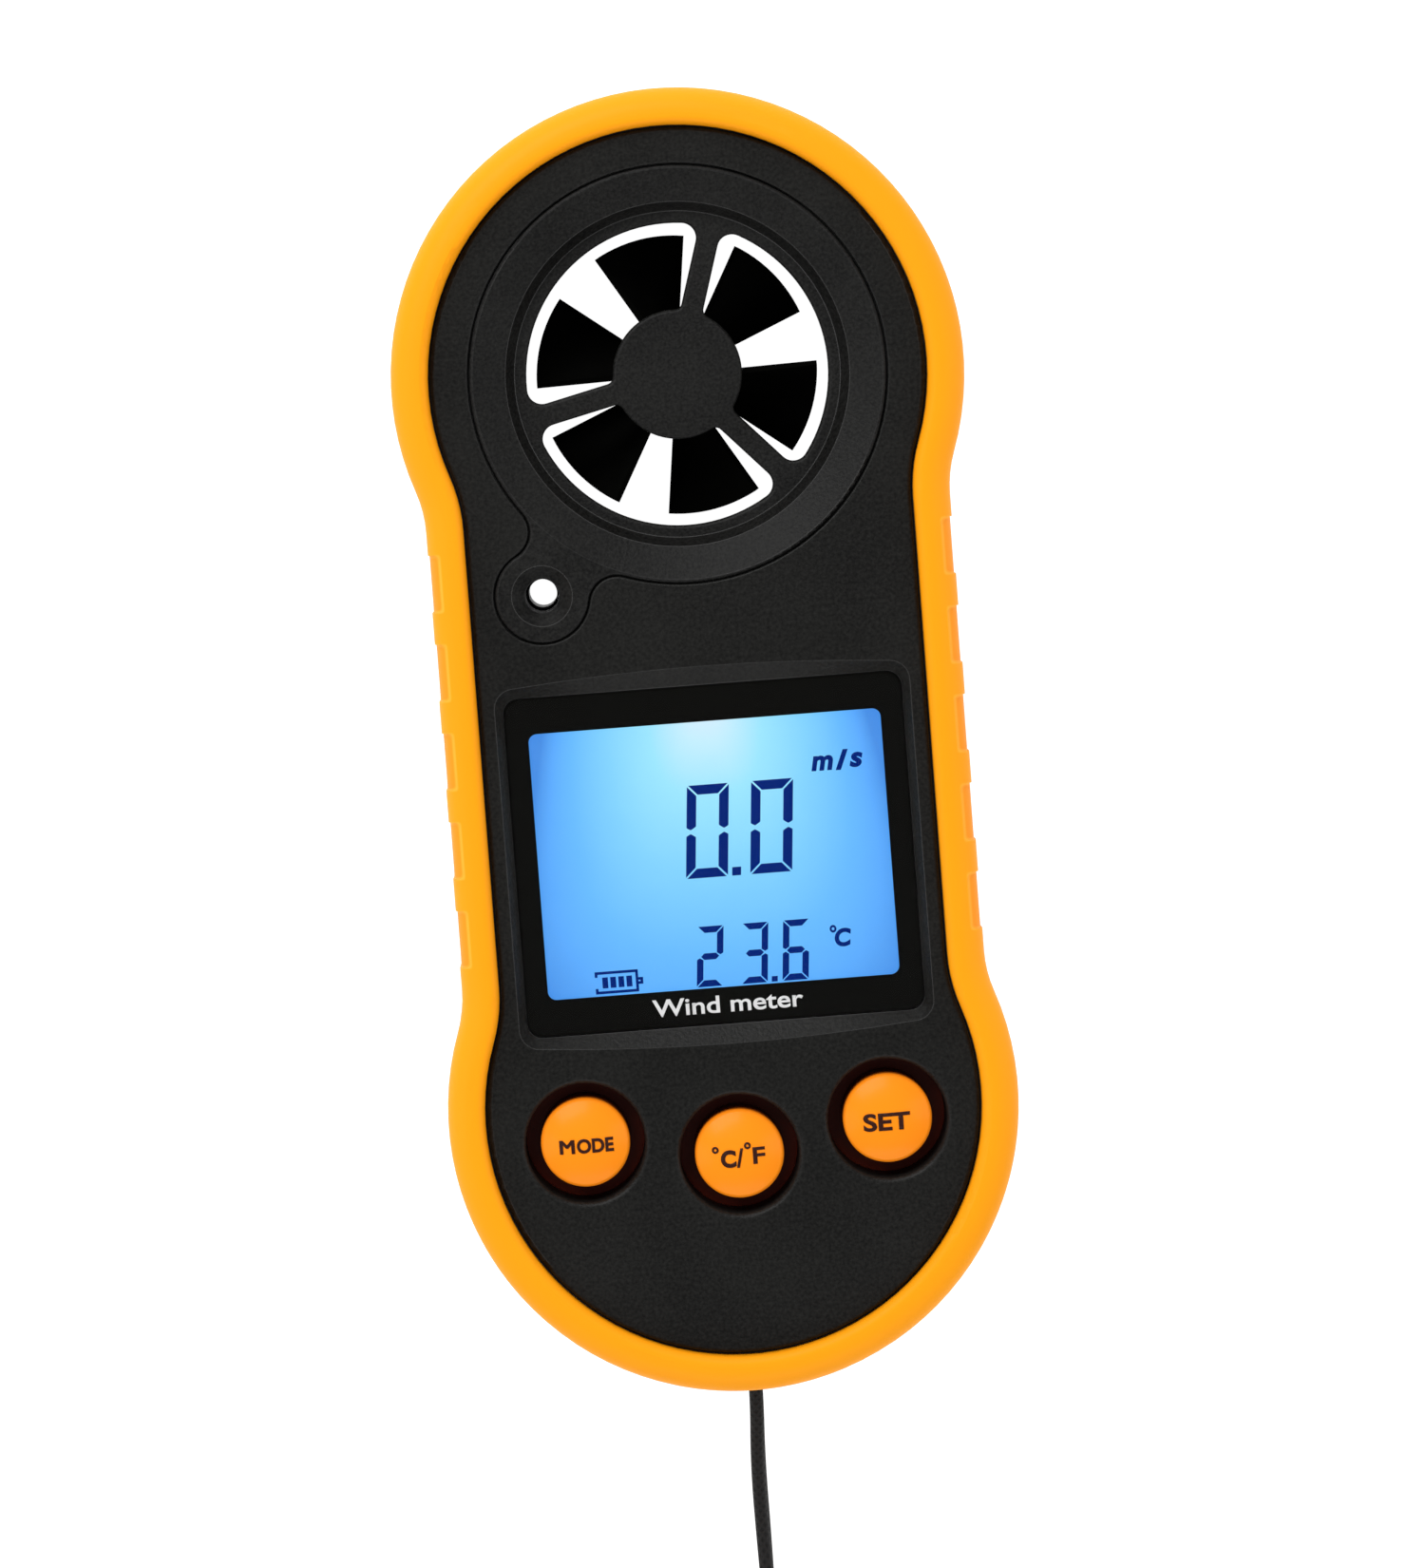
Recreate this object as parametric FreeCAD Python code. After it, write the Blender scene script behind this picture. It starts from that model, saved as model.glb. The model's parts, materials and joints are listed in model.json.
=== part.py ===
import FreeCAD, Part
import math
import os

# Handheld vane weather meter, lying on its back.
# Millimetres. +X right, +Y towards the fan head, +Z out of the face. The origin is on the
# back's rest plane, midway between the two round ends.

V = FreeCAD.Vector

# ---- driving dimensions ------------------------------------------------------------------
LOBE_R = 23.0              # both round ends
LOBE_Y = 29.5              # centre of each round end, so the case is 105 long
WAIST = 21.08              # half width between the ends
NECK = 10.0                # hollow that blends an end into the waist
REAR_WAIST = 21.1          # the rear shell is a little fuller than the bumper at its necks
REAR_NECK = 22.0

# heights, from the back up
FLOOR_Z = 1.6
BOARD_Z = 7.2
BOARD_TOP_Z = 8.2
SEAM_Z = 8.8
FLANGE_Z = 9.8
LEDGE_Z = 16.0
PLATE_LOW_Z = 17.0
PLATE_Z = 18.8
CREST_Z = 20.0

# walls
REAR_WALL = 1.85
BUMPER_WALL = 3.0
SHOULDER_R = 2.1           # the bumper's rounded outer edge
SKIRT_INSIDE = 4.35
BOARD_INSET = 4.75
PLATE_GAP = 0.2

# fan head
HUB = V(0, 29.6, 0)
WINDOW_R = 12.15
CAP_R = 5.2
STRUT_W = 1.8
REAR_WINDOW_R = 12.9       # the rear guard is lighter, so that the front one hides it
REAR_CAP_R = 4.6
REAR_STRUT_W = 1.0
STRUT_ANGLES = (73, 193, 313)
INSERT_R = 16.7
SPIDER_LOW_Z = 15.0
SPIDER_Z = 16.6
DUCT_R = 13.5
REAR_RING_R = 14.6
REAR_GUARD_Z = 3.4
BLADES = 6
BLADE_TIP_R = 11.35
BLADE_LOW_Z = 6.0
BLADE_HIGH_Z = 12.6
BLADE_TURN = 36.8          # angle that a blade spans, seen along the axis
FIRST_BLADE = 42
SHAFT_R = 0.5
JEWEL_R = 1.25
JEWEL_H = 1.0
JEWEL_CLEARANCE = 0.03

# temperature sensor's air hole
SENSOR = V(-12.2, 12.7, 0)
SENSOR_LOBE_R = 3.75
SENSOR_BORE_R = 1.36
SENSOR_REAR_R = 1.15        # the same hole through the rear case
SENSOR_TUBE_R = 2.2
SENSOR_DISH_R = 2.44
INSERT_NECK = 2.3

# display
LENS_X = 16.0
LENS_Y = (-22.7, 4.55)
LENS_Z = (17.2, 18.0)
LENS_CORNER = 1.3
VIEW_X = 14.2
VIEW_Y = (-19.85, 1.65)

# buttons: centre and legend, left to right
BUTTONS = {
    "mode": V(-12.1, -31.4, 0),
    "unit": V(0.2, -33.25, 0),
    "set": V(12.3, -31.3, 0),
}
BUTTON_R = 3.6
BUTTON_FLANGE_R = 5.2
BUTTON_FLANGE_Z = (12.3, 13.1)
BUTTON_EDGE_Z = 18.3
BUTTON_TOP_Z = 19.3
WELL_R = 4.8
WELL_LOW_Z = 13.4
WELL_LIP = 0.5

# battery bay, a 20 x 3.2 coin cell
BAY = V(0, -LOBE_Y, 0)
CELL_R = 10.0
CELL_Z = (2.9, 6.1)
COVER_R = 12.3
COVER_Z = (0.25, 1.75)
COVER_GAP = 0.3
TAB_R = 13.4
TAB_Z = (1.95, 2.95)
TAB_ANGLES = (30, 150, 270)
TAB_TURN = 30              # a quarter-turn style bayonet: tabs meet their notches after this

# fasteners
CASE_SCREW_R = 17.0        # from the centre of its round end
CASE_SCREW_TURN = 30       # either side of the long axis
CASE_BOSS_R = 2.3
SCREW_R = 0.85
SCREW_HEAD_R = 1.8
BOARD_SCREWS = (V(-14.3, 8.6, 0), V(14.3, 8.6, 0), V(0, -43.8, 0))
BOARD_BOSS_R = 1.6

# grip flutes in the bumper's waist
FLUTES = 5
FLUTE_PITCH = 7.15
FLUTE_L = 4.6
FLUTE_DEEP = 0.15
FLUTE_LOW_Z = 12.6
FLUTE_REACH = 1.0          # how far a flute comes in over the bumper's shoulder

# lanyard
BAR_Y = -50.6
BAR_Z = 4.4
BAR_R = 1.1
POCKET_HALF = 1.6
POCKET_Y = -47.9
POCKET_Z = (1.7, 7.1)
LOOP_D = 1.15
LOOP_ROUTE = (
    (0.0, -72.0, 2.65),
    (-0.1, -67.0, 2.95),
    (-0.15, -60.6, 4.3),
    (0.25, -54.4, 6.2),
    (0.1, -48.7, 6.3),
    (0.1, -48.7, 2.5),
    (0.3, -54.2, 2.4),
    (0.0, -60.6, 1.85),
    (0.05, -67.0, 1.2),
    (0.0, -72.0, 1.25),
)
CRIMP_Y = (-79.0, -72.0)
CRIMP_HALF = 2.7
CRIMP_H = 3.8
HANK_FAR = V(0, -121.0, 0)
HANK_NEAR = V(-0.3, -92.5, 0)
HANK_FAR_R = 10.2
HANK_NEAR_R = 9.4
HANK_H = 2.3
TIE_Y = (-108.5, -105.5)
TIE_HALF = 5.4
TIE_H = 3.1
TIE_WALL = 0.4


# ---- helpers -----------------------------------------------------------------------------
def box(x0, x1, y0, y1, z0, z1):
    """A block between two corners."""
    return Part.makeBox(x1 - x0, y1 - y0, z1 - z0, V(x0, y0, z0))


def cylinder(centre, radius, z0, z1):
    """An upright cylinder about a point in plan."""
    return Part.makeCylinder(radius, z1 - z0, V(centre.x, centre.y, z0))


def tube(centre, outer, inner, z0, z1):
    """An upright tube about a point in plan."""
    return cylinder(centre, outer, z0, z1).cut(cylinder(centre, inner, z0 - 1, z1 + 1))


def cone(centre, low_r, high_r, z0, z1):
    """An upright cone about a point in plan."""
    return Part.makeCone(low_r, high_r, z1 - z0, V(centre.x, centre.y, z0))


def fuse(shapes):
    """Several overlapping shapes as one."""
    return shapes[0].multiFuse(list(shapes[1:])).removeSplitter()


def polar(centre, radius, degrees):
    """A point in plan at an angle round a centre."""
    a = math.radians(degrees)
    return V(centre.x + radius * math.cos(a), centre.y + radius * math.sin(a), 0)


def turned(shape, centre, degrees):
    """A copy of the shape turned about an upright axis."""
    copy = shape.copy()
    copy.rotate(centre, V(0, 0, 1), degrees)
    return copy


def arc(a, b, c):
    """The arc from a to c through b."""
    return Part.Arc(a, b, c).toShape()


def line(a, b):
    """The straight edge from a to b."""
    return Part.LineSegment(a, b).toShape()


def slab_of(edges, height):
    """The solid over a closed flat outline."""
    return Part.Face(Part.Wire(edges)).extrude(V(0, 0, height))


def edges_at(shape, z, skip=None):
    """The shape's edges that lie flat at height z, apart from those that skip turns down."""
    found = []
    for e in shape.Edges:
        b = e.BoundBox
        flat = abs(b.ZMin - z) < 1e-4 and abs(b.ZMax - z) < 1e-4
        if flat and not (skip and skip(e)):
            found.append(e)
    return found


def upright_edges(shape):
    """The shape's straight edges along Z."""
    return [e for e in shape.Edges if e.BoundBox.XLength + e.BoundBox.YLength < 1e-4]


def rounded_block(x0, x1, y0, y1, z0, z1, corner):
    """A block with rounded upright edges."""
    block = box(x0, x1, y0, y1, z0, z1)
    return block.makeFillet(corner, upright_edges(block))


def body_slab(inset, z0, z1, waist=WAIST, neck=NECK):
    """The meter's waisted outline, moved in by inset, as a solid between two heights."""
    neck_x = waist + neck
    neck_y = LOBE_Y - math.sqrt((LOBE_R + neck) ** 2 - neck_x**2)
    to_lobe = V(-neck_x, LOBE_Y - neck_y, 0).normalize()
    middle = (to_lobe + V(-1, 0, 0)).normalize()

    def corner(sx, sy):
        reach = neck + inset
        places = (V(-1, 0, 0), middle, to_lobe)
        return [V(sx * (neck_x + p.x * reach), sy * (neck_y + p.y * reach), z0) for p in places]

    lobe_tip = LOBE_Y + LOBE_R - inset
    side_a, mid_a, lobe_a = corner(1, 1)
    side_b, mid_b, lobe_b = corner(-1, 1)
    side_c, mid_c, lobe_c = corner(-1, -1)
    side_d, mid_d, lobe_d = corner(1, -1)
    edges = [
        arc(side_a, mid_a, lobe_a),
        arc(lobe_a, V(0, lobe_tip, z0), lobe_b),
        arc(lobe_b, mid_b, side_b),
        line(side_b, side_c),
        arc(side_c, mid_c, lobe_c),
        arc(lobe_c, V(0, -lobe_tip, z0), lobe_d),
        arc(lobe_d, mid_d, side_d),
        line(side_d, side_a),
    ]
    return slab_of(edges, z1 - z0)


def rear_slab(inset, z0, z1):
    """The rear shell's own, slightly fuller outline as a solid."""
    return body_slab(inset, z0, z1, REAR_WAIST, REAR_NECK)


def insert_slab(grow, z0, z1):
    """The fan insert's outline, a disc joined to the sensor's small lobe, grown by grow."""
    between = SENSOR - HUB
    span = between.Length
    along = V(between).normalize()
    across = V(-along.y, along.x, 0)
    big = INSERT_R + INSERT_NECK
    small = SENSOR_LOBE_R + INSERT_NECK
    reach = (span**2 + big**2 - small**2) / (2 * span)
    side = math.sqrt(big**2 - reach**2)
    lift = V(0, 0, z0)

    def hollow(sign):
        centre = HUB + along * reach + across * (sign * side)
        to_big = (HUB - centre).normalize()
        to_small = (SENSOR - centre).normalize()
        middle = (to_big + to_small).normalize()
        radius = INSERT_NECK - grow
        return [centre + way * radius + lift for way in (to_big, middle, to_small)]

    big_l, mid_l, small_l = hollow(1)
    big_r, mid_r, small_r = hollow(-1)
    top = HUB - along * (INSERT_R + grow) + lift
    bottom = SENSOR + along * (SENSOR_LOBE_R + grow) + lift
    edges = [
        arc(big_l, top, big_r),
        arc(big_r, mid_r, small_r),
        arc(small_r, bottom, small_l),
        arc(small_l, mid_l, big_l),
    ]
    return slab_of(edges, z1 - z0)


def windows(outer_r, cap_r, strut_w, z0, z1):
    """The three air windows between the struts, with rounded corners, as one shape to cut."""
    ring = tube(HUB, outer_r, cap_r, z0, z1)
    for angle in STRUT_ANGLES:
        strut = box(HUB.x, HUB.x + outer_r + 2, HUB.y - strut_w / 2, HUB.y + strut_w / 2, z0, z1)
        ring = ring.cut(turned(strut, HUB, angle))
    outer_corner = 1.2
    inner_corner = 0.6
    shaped = []
    for window in ring.Solids:
        outer = []
        inner = []
        for e in upright_edges(window):
            middle = e.BoundBox.Center
            far = math.hypot(middle.x - HUB.x, middle.y - HUB.y) > (outer_r + cap_r) / 2
            (outer if far else inner).append(e)
        window = window.makeFillet(outer_corner, outer)
        inner = []
        for e in upright_edges(window):
            middle = e.BoundBox.Center
            if math.hypot(middle.x - HUB.x, middle.y - HUB.y) < cap_r + inner_corner:
                inner.append(e)
        shaped.append(window.makeFillet(inner_corner, inner))
    return Part.makeCompound(shaped)


def case_screw_places():
    """Where the four case screws stand, two in each round end."""
    head = V(0, LOBE_Y, 0)
    return [
        polar(head, CASE_SCREW_R, 90 - CASE_SCREW_TURN),
        polar(head, CASE_SCREW_R, 90 + CASE_SCREW_TURN),
        polar(BAY, CASE_SCREW_R, 270 - CASE_SCREW_TURN),
        polar(BAY, CASE_SCREW_R, 270 + CASE_SCREW_TURN),
    ]


def screw(place, head_low, head_high, tip):
    """A cross-head screw standing along Z: its head is below its thread."""
    slot_w = 0.45
    slot_l = 1.1
    slot_deep = 0.6
    solid = cylinder(place, SCREW_HEAD_R * 0.95, head_low, head_high)
    solid = solid.makeFillet(0.3, edges_at(solid, head_low))
    solid = solid.fuse(cylinder(place, SCREW_R, head_high, tip))
    for x, y in ((slot_l, slot_w / 2), (slot_w / 2, slot_l)):
        cross = box(place.x - x, place.x + x, place.y - y, place.y + y, head_low - 1, head_low + slot_deep)
        solid = solid.cut(cross)
    return solid


# ---- shells ------------------------------------------------------------------------------
def flute(side, y):
    """The cut for one finger flute: a shallow pad up the side and over the shoulder's curve."""
    foot_corner = 0.8
    top_corner = 0.5
    clear = 2.0
    start = y - FLUTE_L / 2
    bend = SHOULDER_R - FLUTE_DEEP
    bend_x = WAIST - SHOULDER_R
    bend_z = CREST_Z - SHOULDER_R

    def place(x, z):
        return V(side * x, start, z)

    half_way = bend * math.sqrt(0.5)
    curve = Part.Arc(
        place(bend_x + bend, bend_z),
        place(bend_x + half_way, bend_z + half_way),
        place(bend_x, bend_z + bend),
    )
    outside = Part.makePolygon([
        place(bend_x, bend_z + bend),
        place(bend_x, CREST_Z + clear),
        place(WAIST + clear, CREST_Z + clear),
        place(WAIST + clear, FLUTE_LOW_Z),
        place(bend_x + bend, FLUTE_LOW_Z),
        place(bend_x + bend, bend_z),
    ])
    face = Part.Face(Part.Wire([curve.toShape()] + outside.Edges))
    cut = face.extrude(V(0, FLUTE_L, 0))
    foot = [e for e in edges_at(cut, FLUTE_LOW_Z) if e.BoundBox.YLength < 1e-4]
    cut = cut.makeFillet(foot_corner, foot)
    reach = sorted((side * (WAIST - FLUTE_REACH), side * (WAIST + 2 * clear)))
    window = rounded_block(
        reach[0], reach[1], start, start + FLUTE_L, FLUTE_LOW_Z - 1, CREST_Z + clear, top_corner
    )
    return cut.common(window)


def bumper():
    """The soft orange band round the front shell, fluted at the waist for the fingers."""
    inner_lip = 0.7
    hem = 0.8
    ring = body_slab(0, FLANGE_Z, CREST_Z)
    ring = ring.makeFillet(SHOULDER_R, edges_at(ring, CREST_Z))
    ring = ring.makeFillet(hem, edges_at(ring, FLANGE_Z))
    ring = ring.cut(body_slab(BUMPER_WALL, FLANGE_Z - 1, CREST_Z + 1))
    inside = [e for e in edges_at(ring, CREST_Z) if abs(e.BoundBox.YMax) < LOBE_Y + LOBE_R - 2.5]
    ring = ring.makeFillet(inner_lip, inside)
    for side in (-1, 1):
        for i in range(FLUTES):
            y = (i - (FLUTES - 1) / 2) * FLUTE_PITCH
            ring = ring.cut(flute(side, y))
    return ring


def display_recess():
    """The bevelled dish round the display lens, wide and bowed above and below."""
    side_bevel = 0.7
    end_bevel = 0.9
    bow = 0.7
    outer_corner = 1.6
    low, high = LENS_Y

    def frame(dx, dy, bulge, r, z):
        x = LENS_X + dx
        y0 = low - dy
        y1 = high + dy
        k = r * (1 - math.sqrt(0.5))
        return Part.Wire([
            arc(V(-x + r, y1, z), V(0, y1 + bulge, z), V(x - r, y1, z)),
            arc(V(x - r, y1, z), V(x - k, y1 - k, z), V(x, y1 - r, z)),
            line(V(x, y1 - r, z), V(x, y0 + r, z)),
            arc(V(x, y0 + r, z), V(x - k, y0 + k, z), V(x - r, y0, z)),
            arc(V(x - r, y0, z), V(0, y0 - bulge, z), V(-x + r, y0, z)),
            arc(V(-x + r, y0, z), V(-x + k, y0 + k, z), V(-x, y0 + r, z)),
            line(V(-x, y0 + r, z), V(-x, y1 - r, z)),
            arc(V(-x, y1 - r, z), V(-x + k, y1 - k, z), V(-x + r, y1, z)),
        ])

    shallow = frame(side_bevel, end_bevel, bow, outer_corner, PLATE_Z)
    deep = frame(0.08, 0.08, 0.02, LENS_CORNER, LENS_Z[1] - 0.05)
    dish = Part.makeLoft([shallow, deep], True, True)
    fit = 0.08
    pocket = rounded_block(
        -LENS_X - fit, LENS_X + fit, low - fit, high + fit, PLATE_LOW_Z, LENS_Z[1], LENS_CORNER
    )
    return dish.fuse(pocket)


def front_case():
    """The black front shell: face plate, skirt, screw bosses, button wells and display ledge."""
    plate_edge = 0.35
    groove = 0.15
    groove_edge = 0.14
    ledge_in = 0.9
    ledge_low = 17.6
    view_margin = 0.45
    ledge_margin = 1.1
    plate = body_slab(BUMPER_WALL + PLATE_GAP, PLATE_Z - 1, PLATE_Z)
    plate = plate.makeFillet(plate_edge, edges_at(plate, PLATE_Z))
    plate = plate.cut(insert_slab(groove, ledge_low, PLATE_Z + 1))
    reach = INSERT_R + groove + 0.1
    hole_rim = [e for e in edges_at(plate, PLATE_Z) if max(-e.BoundBox.XMin, e.BoundBox.XMax) < reach]
    plate = plate.makeFillet(groove_edge, hole_rim)
    skirt = body_slab(BUMPER_WALL, SEAM_Z, PLATE_Z - 1)
    skirt = skirt.cut(body_slab(SKIRT_INSIDE, SEAM_Z - 1, PLATE_LOW_Z))
    flange = body_slab(0.45, SEAM_Z, FLANGE_Z).cut(body_slab(BUMPER_WALL, SEAM_Z - 1, FLANGE_Z + 1))
    x = LENS_X + ledge_margin - 0.4
    ledge = box(-x, x, LENS_Y[0] - ledge_margin, LENS_Y[1] + ledge_margin, LEDGE_Z, PLATE_LOW_Z)
    parts = [skirt, plate, flange, ledge]
    for place in BUTTONS.values():
        parts.append(cylinder(place, WELL_R + 0.9, WELL_LOW_Z, PLATE_LOW_Z))
    for place in case_screw_places():
        parts.append(cylinder(place, CASE_BOSS_R, SEAM_Z, PLATE_LOW_Z))
    for place in BOARD_SCREWS:
        parts.append(cylinder(place, BOARD_BOSS_R, BOARD_TOP_Z, PLATE_LOW_Z))
    shell = fuse(parts)
    cuts = [
        insert_slab(groove, ledge_low, PLATE_Z + 1),
        insert_slab(-ledge_in, PLATE_LOW_Z - 1.5, ledge_low),
        display_recess(),
        rounded_block(
            -VIEW_X - view_margin, VIEW_X + view_margin,
            VIEW_Y[0] - view_margin, VIEW_Y[1] + view_margin, LEDGE_Z - 1, PLATE_LOW_Z, 0.8
        ),
    ]
    for place in BUTTONS.values():
        cuts.append(cylinder(place, WELL_R, WELL_LOW_Z - 1, PLATE_Z + 1))
    for place in case_screw_places():
        cuts.append(cylinder(place, SCREW_R + 0.05, SEAM_Z - 1, PLATE_LOW_Z - 3))
    for place in BOARD_SCREWS:
        cuts.append(cylinder(place, SCREW_R + 0.05, BOARD_TOP_Z - 1, PLATE_LOW_Z - 3))
    for cut in cuts:
        shell = shell.cut(cut)
    rims = []
    for e in edges_at(shell, PLATE_Z):
        for place in BUTTONS.values():
            c = e.BoundBox.Center
            if math.hypot(c.x - place.x, c.y - place.y) < 0.1 and e.BoundBox.XLength < 2 * WELL_R + 1:
                rims.append(e)
    return shell.makeFillet(WELL_LIP, rims)


def rear_case():
    """The black rear shell: a tray with the fan's rear opening, battery bay and lanyard bar."""
    back_round = 3.0
    rim = 0.25
    shell = rear_slab(0.05, 0, SEAM_Z)
    shell = shell.makeFillet(back_round, edges_at(shell, 0))
    shell = shell.makeChamfer(rim, edges_at(shell, SEAM_Z))
    shell = shell.cut(rear_slab(REAR_WALL, FLOOR_Z, SEAM_Z + 1))
    fan_ring = tube(HUB, REAR_RING_R + 1.4, DUCT_R + 0.1, FLOOR_Z, REAR_GUARD_Z)
    bay_wall = tube(BAY, TAB_R + 1.2, TAB_R + COVER_GAP, FLOOR_Z, TAB_Z[1] + 1.3)
    bay_roof = tube(BAY, TAB_R + 1.2, CELL_R + 0.35, TAB_Z[1] + 0.35, TAB_Z[1] + 1.3)
    bay_tube = tube(BAY, CELL_R + 1.6, CELL_R + 0.35, TAB_Z[1] + 1.3, CELL_Z[1] + 0.3)
    sensor_tube = tube(SENSOR, SENSOR_TUBE_R, SENSOR_REAR_R, FLOOR_Z, SEAM_Z)
    block_half = POCKET_HALF + 1.6
    block = box(-block_half, block_half, -LOBE_Y - LOBE_R + 1.2, POCKET_Y + 1.4, FLOOR_Z, SEAM_Z)
    parts = [shell, fan_ring, bay_wall, bay_roof, bay_tube, sensor_tube, block]
    for place in case_screw_places():
        parts.append(cylinder(place, CASE_BOSS_R, FLOOR_Z, SEAM_Z))
    shell = fuse(parts)
    cuts = [
        cylinder(HUB, REAR_RING_R + 0.1, -1, FLOOR_Z),
        cylinder(HUB, DUCT_R + 0.1, -1, SEAM_Z),
        cylinder(BAY, COVER_R + COVER_GAP, -1, FLOOR_Z + 0.01),
        cylinder(SENSOR, SENSOR_REAR_R, -1, SEAM_Z + 1),
        cone(SENSOR, SENSOR_DISH_R, SENSOR_REAR_R, 0, 1),
        box(-POCKET_HALF, POCKET_HALF, -LOBE_Y - LOBE_R - 1, POCKET_Y, POCKET_Z[0], POCKET_Z[1]),
        box(CELL_R - 0.2, CELL_R + 2, BAY.y - 2.4, BAY.y + 2.4, TAB_Z[1] + 1.3, CELL_Z[1] + 1),
    ]
    notch_half = 15
    for angle in TAB_ANGLES:
        notch = tube(BAY, TAB_R + COVER_GAP, COVER_R, -1, FLOOR_Z + 0.01)
        wedge = sector(BAY, TAB_R + 2, angle + TAB_TURN, notch_half, -2, FLOOR_Z + 1)
        cuts.append(notch.common(wedge))
    for place in case_screw_places():
        cuts.append(cylinder(place, SCREW_HEAD_R + 0.2, -1, 2.0))
        cuts.append(cylinder(place, SCREW_R + 0.2, 0, SEAM_Z + 1))
    for cut in cuts:
        shell = shell.cut(cut)
    bar = Part.makeCylinder(BAR_R, 2 * POCKET_HALF + 1, V(-POCKET_HALF - 0.5, BAR_Y, BAR_Z), V(1, 0, 0))
    return shell.fuse(bar).removeSplitter()


def sector(centre, radius, middle, half, z0, z1):
    """A pie-shaped solid, half degrees either side of a middle angle, of under a half turn."""
    slice_ = Part.makeCylinder(radius, z1 - z0, V(0, 0, z0), V(0, 0, 1), 2 * half)
    slice_.rotate(V(0, 0, 0), V(0, 0, 1), middle - half)
    slice_.translate(centre)
    return slice_


# ---- fan head ----------------------------------------------------------------------------
def fan_guard_front():
    """The face insert: a dished ring, three struts with a blank hub cap, and the sensor's hole."""
    flange_low = 17.6
    dish_r = 16.45
    shelf_r = 13.8
    shelf_z = 17.85
    floor_r = 13.1
    edge = 0.22
    soft_edge = 0.3
    flare = 2 * (dish_r - shelf_r)
    tall = 2 * (PLATE_Z - shelf_z)
    cavity = Part.makeCone(dish_r - flare, dish_r, tall, V(HUB.x, HUB.y, PLATE_Z - tall))
    cavity = cavity.common(cylinder(HUB, dish_r + 1, shelf_z, PLATE_Z + 1))
    step = cone(HUB, floor_r, shelf_r, SPIDER_Z, shelf_z)
    solid = insert_slab(0, flange_low, PLATE_Z)
    solid = solid.makeFillet(edge, edges_at(solid, PLATE_Z))
    solid = solid.fuse(cylinder(HUB, REAR_RING_R, SPIDER_LOW_Z, flange_low))
    solid = solid.fuse(cylinder(HUB, 2.2, SPIDER_LOW_Z - 1.2, SPIDER_LOW_Z))
    solid = solid.fuse(cylinder(SENSOR, SENSOR_TUBE_R, SEAM_Z + 2.2, flange_low)).removeSplitter()
    for cut in (cavity, step, windows(WINDOW_R, CAP_R, STRUT_W, SPIDER_LOW_Z - 1, SPIDER_Z)):
        solid = solid.cut(cut)
    solid = solid.cut(cylinder(HUB, JEWEL_R, SPIDER_LOW_Z - 2, SPIDER_LOW_Z))
    solid = solid.cut(cylinder(SENSOR, SENSOR_BORE_R, 0, PLATE_Z + 1))
    dished = cone(SENSOR, SENSOR_BORE_R, SENSOR_DISH_R, PLATE_Z - 0.85, PLATE_Z)
    solid = solid.cut(dished)

    def beyond_windows(e):
        c = e.BoundBox
        reach = max(abs(c.XMin - HUB.x), abs(c.XMax - HUB.x), abs(c.YMin - HUB.y), abs(c.YMax - HUB.y))
        return reach > WINDOW_R + 0.3

    return solid.makeFillet(soft_edge, edges_at(solid, SPIDER_Z, beyond_windows))


def fan_guard_rear():
    """The rear guard: the same struts in a plain ring, set a little in from the back."""
    low = 0.3
    spider_low = 1.7
    solid = cylinder(HUB, REAR_RING_R, low, FLOOR_Z)
    solid = solid.fuse(cylinder(HUB, DUCT_R, FLOOR_Z, REAR_GUARD_Z))
    solid = solid.fuse(cylinder(HUB, 2.2, REAR_GUARD_Z, REAR_GUARD_Z + 1.0)).removeSplitter()
    solid = solid.cut(cone(HUB, REAR_RING_R - 0.6, REAR_WINDOW_R + 0.1, low, spider_low))
    solid = solid.cut(windows(REAR_WINDOW_R, REAR_CAP_R, REAR_STRUT_W, 0, REAR_GUARD_Z + 1))
    return solid.cut(cylinder(HUB, JEWEL_R, REAR_GUARD_Z, REAR_GUARD_Z + 2))


def fan_duct():
    """The tube that the impeller turns in, flared to the rear, with the blade sensor's window."""
    solid = cylinder(HUB, DUCT_R, REAR_GUARD_Z, SPIDER_LOW_Z)
    solid = solid.cut(cone(HUB, REAR_WINDOW_R + 0.05, WINDOW_R + 0.05, REAR_GUARD_Z, SPIDER_LOW_Z))
    eye = Part.makeCylinder(0.8, 4, V(0, HUB.y - DUCT_R - 1, 9.6), V(0, 1, 0))
    return solid.cut(eye)


def blade():
    """One pitched vane: a thin plate whose pitch falls off towards the tip."""
    thick = 0.55
    root_r = 3.6
    beyond_r = BLADE_TIP_R + 1.0
    rise = BLADE_HIGH_Z - BLADE_LOW_Z
    middle_z = (BLADE_HIGH_Z + BLADE_LOW_Z) / 2

    def section(radius):
        half_turn = math.radians(BLADE_TURN / 2)
        spread = radius * math.tan(half_turn) * (0.8 + 0.2 * radius / BLADE_TIP_R)
        chord = V(0, spread, rise / 2)
        face = V(0, -rise, 2 * spread).normalize() * (thick / 2)
        centre = V(radius, 0, middle_z)
        corners = [
            centre - chord - face,
            centre + chord - face,
            centre + chord + face,
            centre - chord + face,
        ]
        return Part.makePolygon(corners + [corners[0]])

    plate = Part.makeLoft([section(root_r), section(beyond_r)], True, True)
    plate.translate(HUB)
    return plate.common(cylinder(HUB, BLADE_TIP_R, BLADE_LOW_Z - 0.2, BLADE_HIGH_Z + 0.2))


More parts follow.
